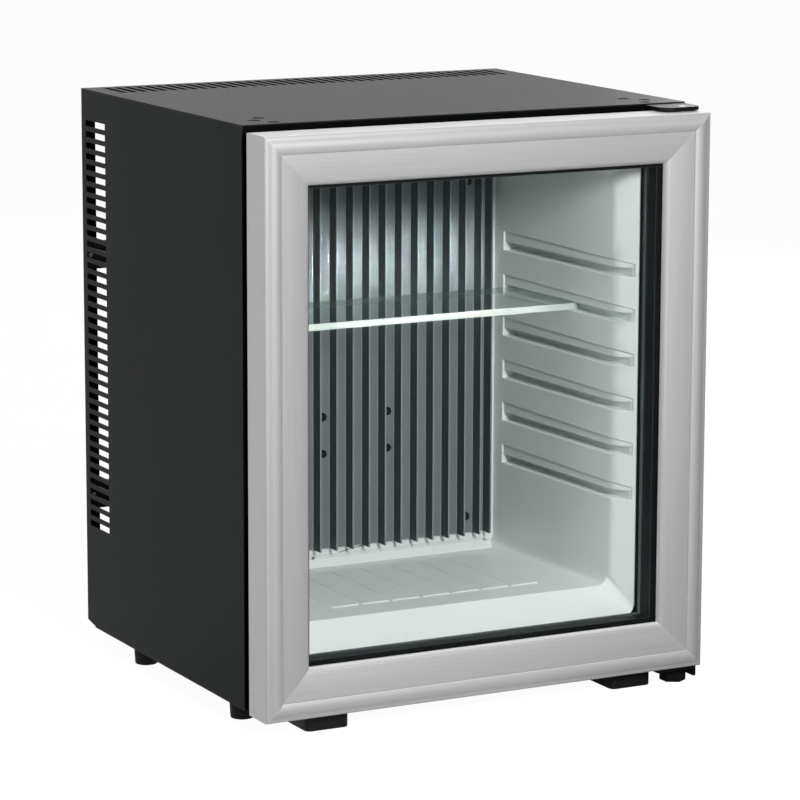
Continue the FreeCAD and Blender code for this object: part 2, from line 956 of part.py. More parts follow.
def jacket_space():
    low = (boiler_place, unit_plane, jacket_low + jacket_wall)
    high = (boiler_place, unit_plane, jacket_high - jacket_wall)
    return rod(low, high, jacket_radius - jacket_wall)


def boiler_wool():
    return cut_all(jacket_space(), [boiler_tube(), heater_cartridge(), heater_lead_cutter()])


def heater_lead_cutter():
    y = wall_back + lead_plane_gap
    return rod((box_right, y, lead_height), (boiler_place - heater_radius * 2, y, lead_height), lead_radius)


def heater_lead():
    """Wire pair in its sleeve, from the control box to the boiler can."""
    return heater_lead_cutter()


def lead_clips():
    """Saddles that hold the heater lead on the rear wall."""
    clips = []
    for place in lead_clip_places:
        low = (place - lead_clip_half, wall_back, lead_height - lead_clip_half)
        high = (place + lead_clip_half, wall_back + lead_plane_gap, lead_height + lead_clip_half)
        clips.append(block(low, high).cut(heater_lead_cutter()))
    return clips


def exchanger_tube():
    """Liquid line from the tank to the foot of the boiler."""
    height = tank_height - exchanger_drop
    points = [
        (tank_right, unit_plane, height),
        (boiler_place, unit_plane, height),
        (boiler_place, unit_plane, jacket_low - boiler_overhang),
    ]
    return tube(points, exchanger_radius, exchanger_bend)


def heat_exchanger():
    """The liquid line with the thin branch that climbs to the head of the coil."""
    top = coil_run_heights()[-1]
    low = tank_height - exchanger_drop
    points = [
        (coil_right, coil_plane, top),
        (weak_place, coil_plane, top),
        (weak_place, coil_plane, low),
        (weak_place, unit_plane, low),
    ]
    return fused([exchanger_tube(), tube(points, weak_radius, weak_bend)])


def evaporation_cup():
    """Open cup on the warm tank, where the drained water dries off."""
    low = tank_height + tank_radius / 2
    top = tank_height + tank_radius + cup_height
    front = unit_plane - cup_depth / 2
    outer = block((cup_left, front, low), (cup_right, front + cup_depth, top))
    floor = tank_height + tank_radius + cup_wall
    inner = block(
        (cup_left + cup_wall, front + cup_wall, floor),
        (cup_right - cup_wall, front + cup_depth - cup_wall, top + overrun),
    )
    return cut_all(outer, [inner, absorber_tank()])


def bar_heights():
    heights = coil_run_heights()
    return (heights[0], heights[-1])


def bar_screw_points():
    inset = half_width - bar_screw_inset
    return [(x, z) for x in (-inset, inset) for z in bar_heights()]


def unit_bars():
    """Two flat bars across the back with the welded saddles that carry the coil."""
    bars = []
    coil = absorber_coil()
    shanks = [rod((x, cabinet_back, z), (x, flange_inner - overrun, z), screw_radius)
              for x, z in bar_screw_points()]
    for height in bar_heights():
        low = (-inner_half, flange_inner - bar_thickness, height - bar_height / 2)
        high = (inner_half, flange_inner, height + bar_height / 2)
        solids = [block(low, high)]
        for place in clip_places:
            low = (place - clip_width / 2, coil_plane, height - clip_half_height)
            high = (place + clip_width / 2, flange_inner - bar_thickness, height + clip_half_height)
            solids.append(block(low, high))
        bars.append(cut_all(fused(solids), shanks + [coil]))
    return bars


def unit_bar_screws():
    screws = []
    for x, z in bar_screw_points():
        head = rod((x, cabinet_back, z), (x, cabinet_back + screw_head_height, z), screw_head_radius)
        inner = flange_inner - bar_thickness
        screws.append(fused([head, rod((x, inner, z), (x, cabinet_back, z), screw_radius)]))
    return screws


def control_box():
    """Plastic box on the rear wall, open to the back."""
    low = (box_left, wall_back, box_low)
    high = (box_right, wall_back + box_depth - lid_thickness, box_high)
    box = block(low, high)
    inner_low = (box_left + box_wall, wall_back + box_wall, box_low + box_wall)
    inner_high = (box_right - box_wall, wall_back + box_depth, box_high - box_wall)
    plane = wall_back + sensor_plane_gap
    entry = (sensor_place, plane, box_high)
    sensor = rod((sensor_place, plane, box_high - box_wall - overrun), entry, sensor_radius)
    return cut_all(box, [block(inner_low, inner_high), sensor])


def lid_middle():
    return (box_left + box_right) / 2


def control_box_lid():
    face = wall_back + box_depth
    low = (box_left, face - lid_thickness, box_low)
    lid = block(low, (box_right, face, box_high))
    corners = [edge for edge in lid.Edges if edge.BoundBox.YLength > lid_thickness / 2]
    lid = lid.makeFillet(box_corner, corners)
    x = lid_middle()
    shaft_radius = knob_shaft_radius + pin_gap
    shaft = rod((x, face - overrun, knob_place), (x, face + overrun, knob_place), shaft_radius)
    inlet = rod((x, face - overrun, gland_place), (x, face + overrun, gland_place), gland_radius / 2)
    return cut_all(lid, [shaft, inlet])


def thermostat():
    """Thermostat body behind the lid, where the sensor line ends."""
    x = lid_middle()
    face = wall_back + box_depth - lid_thickness
    half = knob_radius - knob_grip
    low = (x - half, wall_back + box_wall, knob_place - half)
    body = block(low, (x + half, face, knob_place + half))
    bore_end = (x, face - knob_shaft_length, knob_place)
    bore = rod(bore_end, (x, face + overrun, knob_place), knob_shaft_radius + pin_gap)
    return body.cut(bore)


def thermostat_knob():
    """Knob with a scalloped grip and its shaft, which turns in the lid."""
    x = lid_middle()
    face = wall_back + box_depth + running_gap
    disc = rod((x, face, knob_place), (x, face + knob_height, knob_place), knob_radius)
    grips = []
    for number in range(knob_grip_count):
        angle = math.pi * 2 * number / knob_grip_count
        gx = x + (knob_radius + knob_grip / 2) * math.sin(angle)
        gz = knob_place + (knob_radius + knob_grip / 2) * math.cos(angle)
        grips.append(rod((gx, face + knob_grip, gz), (gx, face + knob_height + overrun, gz), knob_grip))
    shaft_end = (x, face + running_gap - knob_shaft_length, knob_place)
    shaft = rod(shaft_end, (x, face, knob_place), knob_shaft_radius)
    return fused([disc.cut(Part.makeCompound(grips)), shaft])


def mains_gland():
    """Gland that the mains lead enters through: a stub in the lid, a collar and a nut behind it."""
    x = lid_middle()
    face = wall_back + box_depth
    stub_start = (x, face - lid_thickness - gland_nut_length, gland_place)
    stub = rod(stub_start, (x, face, gland_place), gland_radius / 2)
    collar = rod((x, face, gland_place), (x, face + gland_length, gland_place), gland_radius)
    nut_back = face - lid_thickness
    nut = rod((x, nut_back - gland_nut_length, gland_place), (x, nut_back, gland_place), gland_radius)
    low = face - lid_thickness - gland_nut_length - overrun
    bore = rod((x, low, gland_place), (x, face + gland_length + overrun, gland_place), gland_bore)
    return fused([stub, collar, nut]).cut(bore)


def sensor_line():
    return tube(sensor_points(), sensor_radius, sensor_bend)


def section_point(u, w):
    """A point of the frame section, drawn for the left stile at mid height."""
    return vector((u - half_width, door_front + w, 0))


def frame_section():
    """Outline of the frame: rounded edge, bead, step, sloping face and glazing lip."""
    outer = [
        Part.LineSegment(section_point(0, door_depth), section_point(0, edge_shoulder)),
        Part.Arc(section_point(0, edge_shoulder), section_point(edge_round_mid, edge_round_mid_w),
                 section_point(edge_round_u, edge_round_w)),
        Part.LineSegment(section_point(edge_round_u, edge_round_w), section_point(bead_start, bead_end_w)),
        Part.Arc(section_point(bead_start, bead_end_w), section_point((bead_start + bead_end) / 2, 0),
                 section_point(bead_end, bead_end_w)),
        Part.LineSegment(section_point(bead_end, bead_end_w), section_point(bead_end, step_w)),
        Part.LineSegment(section_point(bead_end, step_w), section_point(face_start, face_start_w)),
        Part.Arc(section_point(face_start, face_start_w), section_point(face_mid, face_mid_w),
                 section_point(face_end, face_end_w)),
        Part.Arc(section_point(face_end, face_end_w), section_point(lip_mid, lip_mid_w),
                 section_point(lip_end, lip_end_w)),
    ]
    inner = [
        (lip_end, glass_seat),
        (lip_back, glass_seat),
        (lip_back - frame_wall, face_end_w + frame_wall),
        (bead_end, step_w + frame_wall),
        (frame_wall, step_w + frame_wall),
        (frame_wall, door_depth),
        (0, door_depth),
    ]
    edges = [piece.toShape() for piece in outer]
    reached = (lip_end, lip_end_w)
    for following in inner:
        edges.append(Part.LineSegment(section_point(*reached), section_point(*following)).toShape())
        reached = following
    return Part.Face(Part.Wire(edges))


def mitre(run_low, run_high):
    """The wedge of the door's plan that the left stile fills, mitred at both ends."""
    middle_x = 0
    side = half_width
    points = [
        (-side, door_front - overrun, run_low),
        (middle_x, door_front - overrun, run_low + side),
        (middle_x, door_front - overrun, run_high - side),
        (-side, door_front - overrun, run_high),
    ]
    return prism(points, (0, door_depth + overrun * 2, 0))


def door_stile_left():
    section = frame_section()
    section.translate(vector((0, 0, door_bottom)))
    bar = section.extrude(vector((0, 0, door_top - door_bottom)))
    return bar.common(mitre(door_bottom, door_top))


def plug_space_in_stile():
    y = door_front + door_plug_inset
    z = door_bottom + door_plug_height
    low = (half_width - frame_wall, y, z)
    return rod(low, (half_width + door_plug_proud, y, z), door_plug_radius)


def door_stile_right():
    return mirrored(door_stile_left()).cut(plug_space_in_stile())


def bottom_rail_blank():
    """Lower frame member, the stile's section turned to run along X."""
    section = frame_section()
    section.rotate(vector((-half_width, door_front, 0)), vector((0, 1, 0)), -math.degrees(math.pi / 2))
    section.translate(vector((0, 0, door_bottom)))
    bar = section.extrude(vector((overall_width, 0, 0)))
    plan = [
        (-half_width, door_front - overrun, door_bottom),
        (half_width, door_front - overrun, door_bottom),
        (0, door_front - overrun, door_bottom + half_width),
    ]
    return bar.common(prism(plan, (0, door_depth + overrun * 2, 0)))


def door_rail_bottom():
    return bottom_rail_blank().cut(bush_space())


def door_rail_top():
    middle = (door_top + door_bottom) / 2
    blank = bottom_rail_blank().mirror(vector((0, 0, middle)), vector((0, 0, 1)))
    return blank.cut(bush_space())


def bush_space():
    """The two holes that the hinge bushes fill."""
    low = rod((axis_x, axis_y, door_bottom), (axis_x, axis_y, door_bottom + bush_length), bush_radius)
    high = rod((axis_x, axis_y, door_top - bush_length), (axis_x, axis_y, door_top), bush_radius)
    return Part.makeCompound([low, high])


def hinge_bush(end, step):
    """Plastic bush in a rail, from the door's outer face inwards."""
    inner = end + step * bush_length
    bore_end = inner + step * overrun
    bush = rod((axis_x, axis_y, end), (axis_x, axis_y, inner), bush_radius)
    start = (axis_x, axis_y, end - step * overrun)
    return bush.cut(rod(start, (axis_x, axis_y, bore_end), pin_radius + pin_gap))


def ring(outer_u, inner_u, front_w, back_w):
    """A frame-shaped ring at a depth range of the door."""
    front = door_front + front_w
    back = door_front + back_w
    outer = block(
        (-half_width + outer_u, front, door_bottom + outer_u),
        (half_width - outer_u, back, door_top - outer_u),
    )
    inner = block(
        (-half_width + inner_u, front - overrun, door_bottom + inner_u),
        (half_width - inner_u, back + overrun, door_top - inner_u),
    )
    return outer.cut(inner)


def pane(front_w):
    """One sheet of the double glazing."""
    front = door_front + front_w
    low = (-half_width + pane_edge, front, door_bottom + pane_edge)
    return block(low, (half_width - pane_edge, front + pane_thickness, door_top - pane_edge))


def corner_keys():
    """L-shaped keys that join the frame members inside their hollow corners."""
    inner = rib_outer - running_gap
    whole = ring(frame_wall, inner, key_front, key_back)
    keys = []
    for side in (-1, 1):
        for end, direction in ((door_bottom, 1), (door_top, -1)):
            x = side * half_width
            z_end = end + direction * key_leg
            low = (min(x, x - side * key_leg), door_front, min(end, z_end))
            high = (max(x, x - side * key_leg), door_back, max(end, z_end))
            keys.append(whole.common(block(low, high)).cut(bush_space()))
    return keys


def spacer_front():
    return glass_seat + pane_thickness


def spacer_back():
    return spacer_front() + spacer_depth


def glazing_seal():
    """Sealant between the panes, outside the spacer."""
    return ring(spacer_seal_edge, spacer_outer, spacer_front(), spacer_back())


def door_inner_frame():
    """Black inner frame that closes the hollow members and holds the glazing."""
    back_ring = ring(frame_wall, sight_edge, spacer_back() + pane_thickness, door_depth)
    rib = ring(rib_outer, pane_edge - running_gap, rib_front, door_depth)
    return fused([back_ring, rib])


def gasket_back():
    return door_depth + door_gap - running_gap


def door_gasket():
    seal = ring(gasket_outer, gasket_inner, door_depth, gasket_back())
    channel_end = door_depth + gasket_channel_depth
    channel = ring(gasket_channel_outer, gasket_channel_inner, door_depth - overrun, channel_end)
    return seal.cut(channel)


def magnet_strips():
    """Four magnet strips in the gasket's channel, mitred by length."""
    back = door_depth + gasket_channel_depth
    whole = ring(gasket_channel_outer, gasket_channel_inner, back - magnet_depth, back)
    inner = half_width - gasket_channel_inner
    middle = block((-inner, door_front, door_bottom), (inner, cabinet_front, door_top))
    across = whole.common(middle)
    along = whole.cut(middle)
    return across.Solids + along.Solids


def door_side_plug():
    return plug_space_in_stile()


def main():
    os.makedirs("parts", exist_ok=True)
    save("side_panel_right", side_panel())
    save("side_panel_left", mirrored(side_panel()))
    save("top_panel", top_panel())
    save("base_panel", base_panel())
    save("front_collar", front_collar())
    save("inner_liner", inner_liner())
    save("insulation_foam", insulation_foam())
    save("rear_wall", rear_wall())
    save("cold_plate", cold_plate())
    save_group("cold_plate_screws", cold_plate_screws())
    save("drip_gutter", drip_gutter())
    save("drain_tube", drain_tube())
    save("glass_shelf", glass_shelf())

    save_group("round_feet", round_feet())
    save_group("stabiliser_blocks", both_sides(stabiliser_block()))
    feet, blocks, bracket = base_screw_points()
    bracket_head = foot_height - plate_steel - screw_head_height
    screws = [base_screw(place, foot_recess_height) for place in feet + blocks]
    screws += [base_screw(place, bracket_head) for place in bracket]
    save_group("base_screws", screws)

    save("hinge_plate_upper", hinge_plate_upper())
    save_group("hinge_pins", hinge_pins())
    save_group("hinge_screws", top_screws())
    save_group("hole_plugs", [mirrored(screw) for screw in top_screws()])
    save("hinge_bracket_lower", hinge_bracket_lower())
    save("levelling_nut", levelling_nut())

    save("evaporator_block", evaporator_block())
    save("evaporator_plug", evaporator_plug())
    save("evaporator_return_tube", evaporator_return_tube())
    save("absorber_tank", absorber_tank())
    save("absorber_coil", absorber_coil())
    save("condenser_tube", condenser_tube())
    save_group("condenser_fins", condenser_fins())
    save("boiler_tube", boiler_tube())
    save("boiler_jacket", boiler_jacket())
    save("boiler_wool", boiler_wool())
    save("heater_cartridge", heater_cartridge())
    save("heater_lead", heater_lead())
    save_group("lead_clips", lead_clips())
    save("heat_exchanger", heat_exchanger())
    save("evaporation_cup", evaporation_cup())
    save_group("unit_bars", unit_bars())
    save_group("unit_bar_screws", unit_bar_screws())
    save("control_box", control_box())
    save("control_box_lid", control_box_lid())
    save("thermostat", thermostat())
    save("thermostat_knob", thermostat_knob())
    save("mains_gland", mains_gland())
    save("sensor_line", sensor_line())

    save("door_stile_left", door_stile_left())
    save("door_stile_right", door_stile_right())
    save("door_rail_top", door_rail_top())
    save("door_rail_bottom", door_rail_bottom())
    save_group("corner_keys", corner_keys())
    save("outer_glass", pane(glass_seat))
    save("inner_glass", pane(spacer_back()))
    save("glazing_spacer", ring(spacer_outer, sight_edge, spacer_front(), spacer_back()))
    save("glazing_seal", glazing_seal())
    save("door_inner_frame", door_inner_frame())
    save("door_gasket", door_gasket())
    save_group("magnet_strips", magnet_strips())
    save_group("hinge_bushes", [hinge_bush(door_bottom, 1), hinge_bush(door_top, -1)])
    save("door_side_plug", door_side_plug())


main()
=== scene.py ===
import bpy
import json
import math
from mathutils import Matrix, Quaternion, Vector

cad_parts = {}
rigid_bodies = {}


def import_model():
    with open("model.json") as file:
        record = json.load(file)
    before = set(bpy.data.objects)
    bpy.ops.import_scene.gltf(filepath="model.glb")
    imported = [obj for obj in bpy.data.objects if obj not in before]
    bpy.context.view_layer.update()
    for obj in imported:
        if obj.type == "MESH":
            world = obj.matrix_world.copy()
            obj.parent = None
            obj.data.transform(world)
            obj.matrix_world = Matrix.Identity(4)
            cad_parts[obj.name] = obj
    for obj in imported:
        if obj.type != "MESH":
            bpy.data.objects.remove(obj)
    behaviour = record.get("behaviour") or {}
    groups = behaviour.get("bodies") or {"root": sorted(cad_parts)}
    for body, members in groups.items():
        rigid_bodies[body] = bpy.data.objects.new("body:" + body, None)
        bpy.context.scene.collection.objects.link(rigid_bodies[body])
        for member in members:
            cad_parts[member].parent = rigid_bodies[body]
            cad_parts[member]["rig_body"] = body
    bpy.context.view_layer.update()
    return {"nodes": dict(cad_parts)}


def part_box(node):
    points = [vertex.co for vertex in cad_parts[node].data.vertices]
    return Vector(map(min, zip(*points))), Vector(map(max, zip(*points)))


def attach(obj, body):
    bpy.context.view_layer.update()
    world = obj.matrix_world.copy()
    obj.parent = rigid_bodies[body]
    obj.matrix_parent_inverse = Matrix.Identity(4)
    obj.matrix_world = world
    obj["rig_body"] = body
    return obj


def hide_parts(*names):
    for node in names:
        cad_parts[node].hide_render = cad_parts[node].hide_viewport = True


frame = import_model()
bpy.ops.object.select_all(action="DESELECT")
nodes = frame["nodes"]


def tone(red, green, blue):
    """A finish colour, given as it looks on a screen, from 0 to 255."""
    return tuple((c / 12.92 if c <= 0.04045 else ((c + 0.055) / 1.055) ** 2.4)
                 for c in (red / 255, green / 255, blue / 255)) + (1.0,)


def node(tree, kind, sockets=None, **settings):
    """One shader node, with its sockets set to a value or linked to another node's output."""
    made = tree.nodes.new("ShaderNode" + kind)
    for name, value in settings.items():
        setattr(made, name, value)
    for name, value in (sockets or {}).items():
        if isinstance(value, bpy.types.NodeSocket):
            tree.links.new(value, made.inputs[name])
        else:
            made.inputs[name].default_value = value
    return made


def mapped(tree, size, stretch):
    """Object coordinates in units of size metres, stretched along the axes."""
    place = node(tree, "TexCoord").outputs["Object"]
    scale = tuple(share / size for share in stretch)
    return node(tree, "Mapping", {"Vector": place, "Scale": scale}).outputs["Vector"]


def mottle(tree, size, stretch=(1, 1, 1), detail=2.0):
    """Noise whose patches are about size metres across."""
    return node(tree, "TexNoise", {"Vector": mapped(tree, size, stretch), "Scale": 1.0,
                                   "Detail": detail}).outputs["Fac"]


def ranged(tree, source, low, high, start=0.3, end=0.7):
    """A value that goes from low to high while its source goes from start to end."""
    return node(tree, "MapRange", {"Value": source, "From Min": start, "From Max": end,
                                   "To Min": low, "To Max": high}).outputs["Result"]


def blended(tree, share, first, second):
    """The first colour at share 0 and the second at share 1."""
    return node(tree, "Mix", {0: share, 6: first, 7: second}, data_type="RGBA").outputs[2]


def relief(tree, height, depth):
    """Bumps depth metres deep."""
    return node(tree, "Bump", {"Height": height, "Distance": depth, "Strength": 1.0}).outputs["Normal"]


def edges(tree, radius):
    """1 along outer edges and 0 on flat faces: the mask of the lighter edge colour, which is partly edge wear
    and partly a painted highlight.
    """
    rounded = node(tree, "Bevel", {"Radius": radius}, samples=4).outputs["Normal"]
    flat = node(tree, "NewGeometry").outputs["Normal"]
    alike = node(tree, "VectorMath", {0: rounded, 1: flat}, operation="DOT_PRODUCT").outputs["Value"]
    return ranged(tree, alike, 1.0, 0.0, 0.9, 0.995)


def finish(name, colour, other, roughness, rough_spread=0.06, metal=0.0, ior=1.45, patch=0.03,
           stretch=(1, 1, 1), grain=0.0008, grain_depth=0.00002, edge=None, edge_wear_and_highlight_radius=0.0007,
           patch_detail=3.0):
    """A finish that drifts between two colours, with its own grain and another colour at its edges; the edge
    colours given here are lighter, partly edge wear and partly a painted highlight.
    """
    material = bpy.data.materials.new(name)
    material.use_nodes = True
    tree = material.node_tree
    shader = tree.nodes["Principled BSDF"]
    drift = mottle(tree, patch, stretch, patch_detail)
    skin = blended(tree, ranged(tree, drift, 0.0, 1.0), colour, other)
    # The edge colour is partly edge wear and partly a painted highlight along the edges.
    if edge:
        skin = blended(tree, edges(tree, edge_wear_and_highlight_radius), skin, edge)
    tree.links.new(skin, shader.inputs["Base Color"])
    fine = mottle(tree, grain, stretch)
    rough = ranged(tree, fine, roughness - rough_spread, roughness + rough_spread)
    tree.links.new(rough, shader.inputs["Roughness"])
    tree.links.new(relief(tree, fine, grain_depth), shader.inputs["Normal"])
    shader.inputs["Metallic"].default_value = metal
    shader.inputs["IOR"].default_value = ior
    return material


FACING = 0.97


def facing_share(tree, axis, start, both_ways):
    """1 on the faces that look along an axis, or also against it, and 0 on the other faces."""
    normal = node(tree, "NewGeometry").outputs["True Normal"]
    facing = node(tree, "SeparateXYZ", {0: normal}).outputs[axis]
    if both_ways:
        facing = node(tree, "Math", {0: facing}, operation="ABSOLUTE").outputs[0]
    return ranged(tree, facing, 0.0, 1.0, start, FACING)


EDGE_SEEN, EDGE_PAST = -0.95, -0.5
MIRROR_IOR = 1.7
COVER_INSIDE = 0.03
EDGE_COVER, EDGE_COVER_INSIDE = 0.95, 0.6


def pane_finish(name, body, cover, front_edge=None, rear_edge=None):
    """Clear glass, whose cover is the share of light it stops.

    Where edge colours are given, the front edge shows the first, and the rear edge, which is seen through
    the glass, the second. The faces then cover as much as they mirror.
    """
    material = bpy.data.materials.new(name)
    material.use_nodes = True
    tree = material.node_tree
    shader = tree.nodes["Principled BSDF"]
    smear = ranged(tree, mottle(tree, 0.05, (1, 1, 2), 4.0), 0.0, 1.0)
    whole = ranged(tree, smear, cover * 0.85, cover * 1.15, 0.0, 1.0)
    shader.inputs["Base Color"].default_value = body
    if front_edge:
        surface = node(tree, "NewGeometry")
        facing = node(tree, "SeparateXYZ", {0: surface.outputs["True Normal"]}).outputs["Y"]
        at_edge = ranged(tree, facing, 1.0, 0.0, EDGE_SEEN, EDGE_PAST)
        inside = surface.outputs["Backfacing"]
        edge = blended(tree, inside, front_edge, rear_edge)
        tree.links.new(blended(tree, at_edge, body, edge), shader.inputs["Base Color"])
        mirrored = node(tree, "Fresnel", {"IOR": MIRROR_IOR}).outputs[0]
        of_faces = ranged(tree, inside, mirrored, COVER_INSIDE, 0.0, 1.0)
        of_edges = ranged(tree, inside, EDGE_COVER, EDGE_COVER_INSIDE, 0.0, 1.0)
        whole = node(tree, "Mix", {0: at_edge, 2: of_faces, 3: of_edges}, data_type="FLOAT").outputs[0]
        tree.links.new(ranged(tree, at_edge, 1.0, 0.0, 0.0, 1.0), shader.inputs["Metallic"])
    tree.links.new(whole, shader.inputs["Alpha"])
    tree.links.new(ranged(tree, smear, 0.02, 0.07, 0.0, 1.0), shader.inputs["Roughness"])
    tree.links.new(relief(tree, mottle(tree, 0.02), 0.000004), shader.inputs["Normal"])
    shader.inputs["IOR"].default_value = 1.6
    shader.inputs["Specular IOR Level"].default_value = 0.6
    return material


def painted_shading_by_facing(material, axis, colour, start=0.6, both_ways=True):
    """The same finish with another colour on the faces that look along one axis, as painted light or shade:
    lighter where light falls, darker where shade falls.
    """
    tree = material.node_tree
    skin = tree.nodes["Principled BSDF"].inputs["Base Color"]
    usual = skin.links[0].from_socket
    tree.links.new(blended(tree, facing_share(tree, axis, start, both_ways), usual, colour), skin)
    return material


ALONG_X = (0.012, 1, 1)
ALONG_Z = (1, 1, 0.012)


def anodised(name, dark, light, grain_run):
    """Satin anodised aluminium with its drawing lines along the profile."""
    # Its lighter edge colour is partly edge wear and partly a painted highlight.
    return finish(name, dark, light, 0.54, 0.04, metal=0.35, patch=0.0012, stretch=grain_run, grain=0.0006,
                  grain_depth=0.000012, edge=tone(196, 196, 195), edge_wear_and_highlight_radius=0.0004)


# The edge colours of these finishes are lighter than their faces: partly edge wear and partly a painted
# highlight.
powder_black = finish("black powder coat", tone(12, 18, 17), tone(17, 23, 22), 0.34, 0.05, ior=1.11,
                      patch=0.06, grain=0.0011, grain_depth=0.000012, edge=tone(52, 55, 54))
collar_black = finish("collar black", tone(3, 4, 4), tone(6, 6, 6), 0.6, ior=1.08, grain=0.0006)
# The liner's upward faces, such as the floor, get a lighter colour: painted light.
liner_grey = painted_shading_by_facing(
    finish("liner plastic", tone(213, 220, 218), tone(219, 226, 224), 0.34, 0.05, patch=0.09, grain=0.004,
           grain_depth=0.000002, edge=tone(226, 232, 230), edge_wear_and_highlight_radius=0.001),
    "Z", tone(235, 242, 240), both_ways=False)
foam_yellow = finish("insulating foam", tone(196, 176, 120), tone(218, 200, 150), 0.9, 0.04, patch=0.02,
                     grain=0.0012, grain_depth=0.0003)
zinc_sheet = finish("galvanised sheet", tone(128, 132, 134), tone(158, 162, 163), 0.42, 0.1, metal=0.85,
                    patch=0.009, grain=0.0015, grain_depth=0.000008, edge=tone(190, 192, 192),
                    patch_detail=0.0)
# The fins' side faces, which look along x, get a darker colour: painted shade.
plate_aluminium = painted_shading_by_facing(
    finish("cold plate aluminium", tone(101, 109, 112), tone(114, 122, 125), 0.6, 0.05, metal=0.2,
           patch=0.012, stretch=ALONG_Z, grain=0.0009, grain_depth=0.000004, edge=tone(206, 212, 212)),
    "X", tone(48, 56, 60))
# The rails' upward faces, such as the bottom rail's lip, get a near-white colour: a painted highlight.
frame_across = painted_shading_by_facing(
    anodised("frame aluminium across", tone(160, 160, 160), tone(166, 166, 166), ALONG_X),
    "Z", tone(236, 236, 236), both_ways=False)
# The stiles' side faces get a lighter colour as painted light, and the uprights are a little darker than the
# rails as painted shade.
frame_upright = painted_shading_by_facing(
    anodised("frame aluminium upright", tone(155, 155, 155), tone(161, 161, 161), ALONG_Z),
    "X", tone(206, 206, 206), start=0.92)
clear_pane = pane_finish("float glass pane", tone(70, 82, 80), 0.025)
shelf_pane = pane_finish("float glass shelf", tone(226, 238, 232), 0.07,
                         tone(184, 194, 189), tone(48, 66, 60))
sealant_black = finish("sealant black", tone(8, 9, 9), tone(13, 14, 14), 0.5, ior=1.3, grain=0.0007)
spacer_black = finish("anodised spacer", tone(6, 7, 8), tone(12, 14, 15), 0.5, ior=1.2, grain=0.0007,
                      edge=tone(84, 92, 92), edge_wear_and_highlight_radius=0.0005)
inner_grey = finish("inner frame plastic", tone(52, 60, 62), tone(74, 84, 86), 0.45, patch=0.02,
                    grain=0.0006, edge=tone(96, 106, 106))
gasket_black = finish("gasket rubber", tone(16, 16, 16), tone(24, 24, 24), 0.7, ior=1.3, grain=0.0009,
                      grain_depth=0.00003)
foot_black = finish("foot rubber", tone(12, 13, 13), tone(18, 19, 19), 0.62, ior=1.25, grain=0.001,
                    grain_depth=0.00003, edge=tone(44, 45, 45))
hinge_black = finish("hinge paint", tone(9, 9, 10), tone(14, 14, 15), 0.4, ior=1.2, grain=0.0009,
                     edge=tone(48, 48, 48), edge_wear_and_highlight_radius=0.0005)
screw_black = finish("black oxide", tone(8, 8, 9), tone(13, 13, 14), 0.6, ior=1.1, grain=0.0005,
                     edge=tone(44, 44, 44), edge_wear_and_highlight_radius=0.0003)
screw_zinc = finish("zinc plating", tone(160, 162, 160), tone(188, 188, 182), 0.3, 0.08, metal=0.95,
                    patch=0.003, grain=0.0005, edge=tone(214, 214, 210), edge_wear_and_highlight_radius=0.0004)
enamel_black = finish("stove enamel", tone(18, 18, 19), tone(27, 27, 28), 0.3, 0.06, ior=1.4, patch=0.02,
                      grain=0.0025, grain_depth=0.00006, edge=tone(60, 60, 60))
ferrite = finish("ferrite strip", tone(46, 42, 40), tone(60, 56, 54), 0.75, grain=0.0004)
box_black = finish("box plastic", tone(12, 13, 13), tone(17, 18, 18), 0.52, ior=1.25, grain=0.0006,
                   grain_depth=0.00003, edge=tone(46, 47, 47))
bush_white = finish("bush plastic", tone(212, 212, 206), tone(226, 226, 220), 0.4, grain=0.001)
copper_tube = finish("drawn copper", tone(176, 108, 74), tone(196, 128, 92), 0.32, 0.08, metal=0.95,
                     patch=0.006, grain=0.0006, edge=tone(214, 150, 110))

FINISHES = {
    powder_black: "side_panel_left side_panel_right top_panel base_panel",
    collar_black: "front_collar",
    inner_grey: "door_inner_frame",
    liner_grey: "inner_liner drip_gutter drain_tube",
    foam_yellow: "insulation_foam evaporator_plug boiler_wool",
    zinc_sheet: "rear_wall boiler_jacket",
    plate_aluminium: "cold_plate evaporator_block",
    frame_across: "door_rail_top door_rail_bottom",
    frame_upright: "door_stile_left door_stile_right",
    clear_pane: "outer_glass inner_glass",
    shelf_pane: "glass_shelf",
    sealant_black: "glazing_seal",
    spacer_black: "glazing_spacer",
    gasket_black: "door_gasket heater_lead",
    foot_black: "round_feet",
    hinge_black: "hinge_plate_upper hinge_bracket_lower levelling_nut",
    screw_black: "cold_plate_screws hinge_screws hole_plugs door_side_plug",
    screw_zinc: "base_screws hinge_pins heater_cartridge unit_bar_screws",
    enamel_black: "evaporator_return_tube absorber_tank absorber_coil condenser_tube condenser_fins "
                  "boiler_tube heat_exchanger unit_bars",
    ferrite: "magnet_strips",
    box_black: "stabiliser_blocks lead_clips evaporation_cup control_box control_box_lid thermostat "
               "thermostat_knob mains_gland",
    bush_white: "corner_keys hinge_bushes",
    copper_tube: "sensor_line",
}
for material, names in FINISHES.items():
    for name in names.split():
        for slot in nodes[name].material_slots:
            slot.material = material


def only(piece):
    """Leaves edit mode and selects one piece and nothing else."""
    if bpy.context.mode != "OBJECT":
        bpy.ops.object.mode_set(mode="OBJECT")
    bpy.ops.object.select_all(action="DESELECT")
    piece.select_set(True)
    bpy.context.view_layer.objects.active = piece


def modified(piece, kind, **settings):
    """Adds one modifier and applies it."""
    only(piece)
    modifier = piece.modifiers.new(kind.lower(), kind)
    for name, value in settings.items():
        setattr(modifier, name, value)
    bpy.ops.object.modifier_apply(modifier=modifier.name)


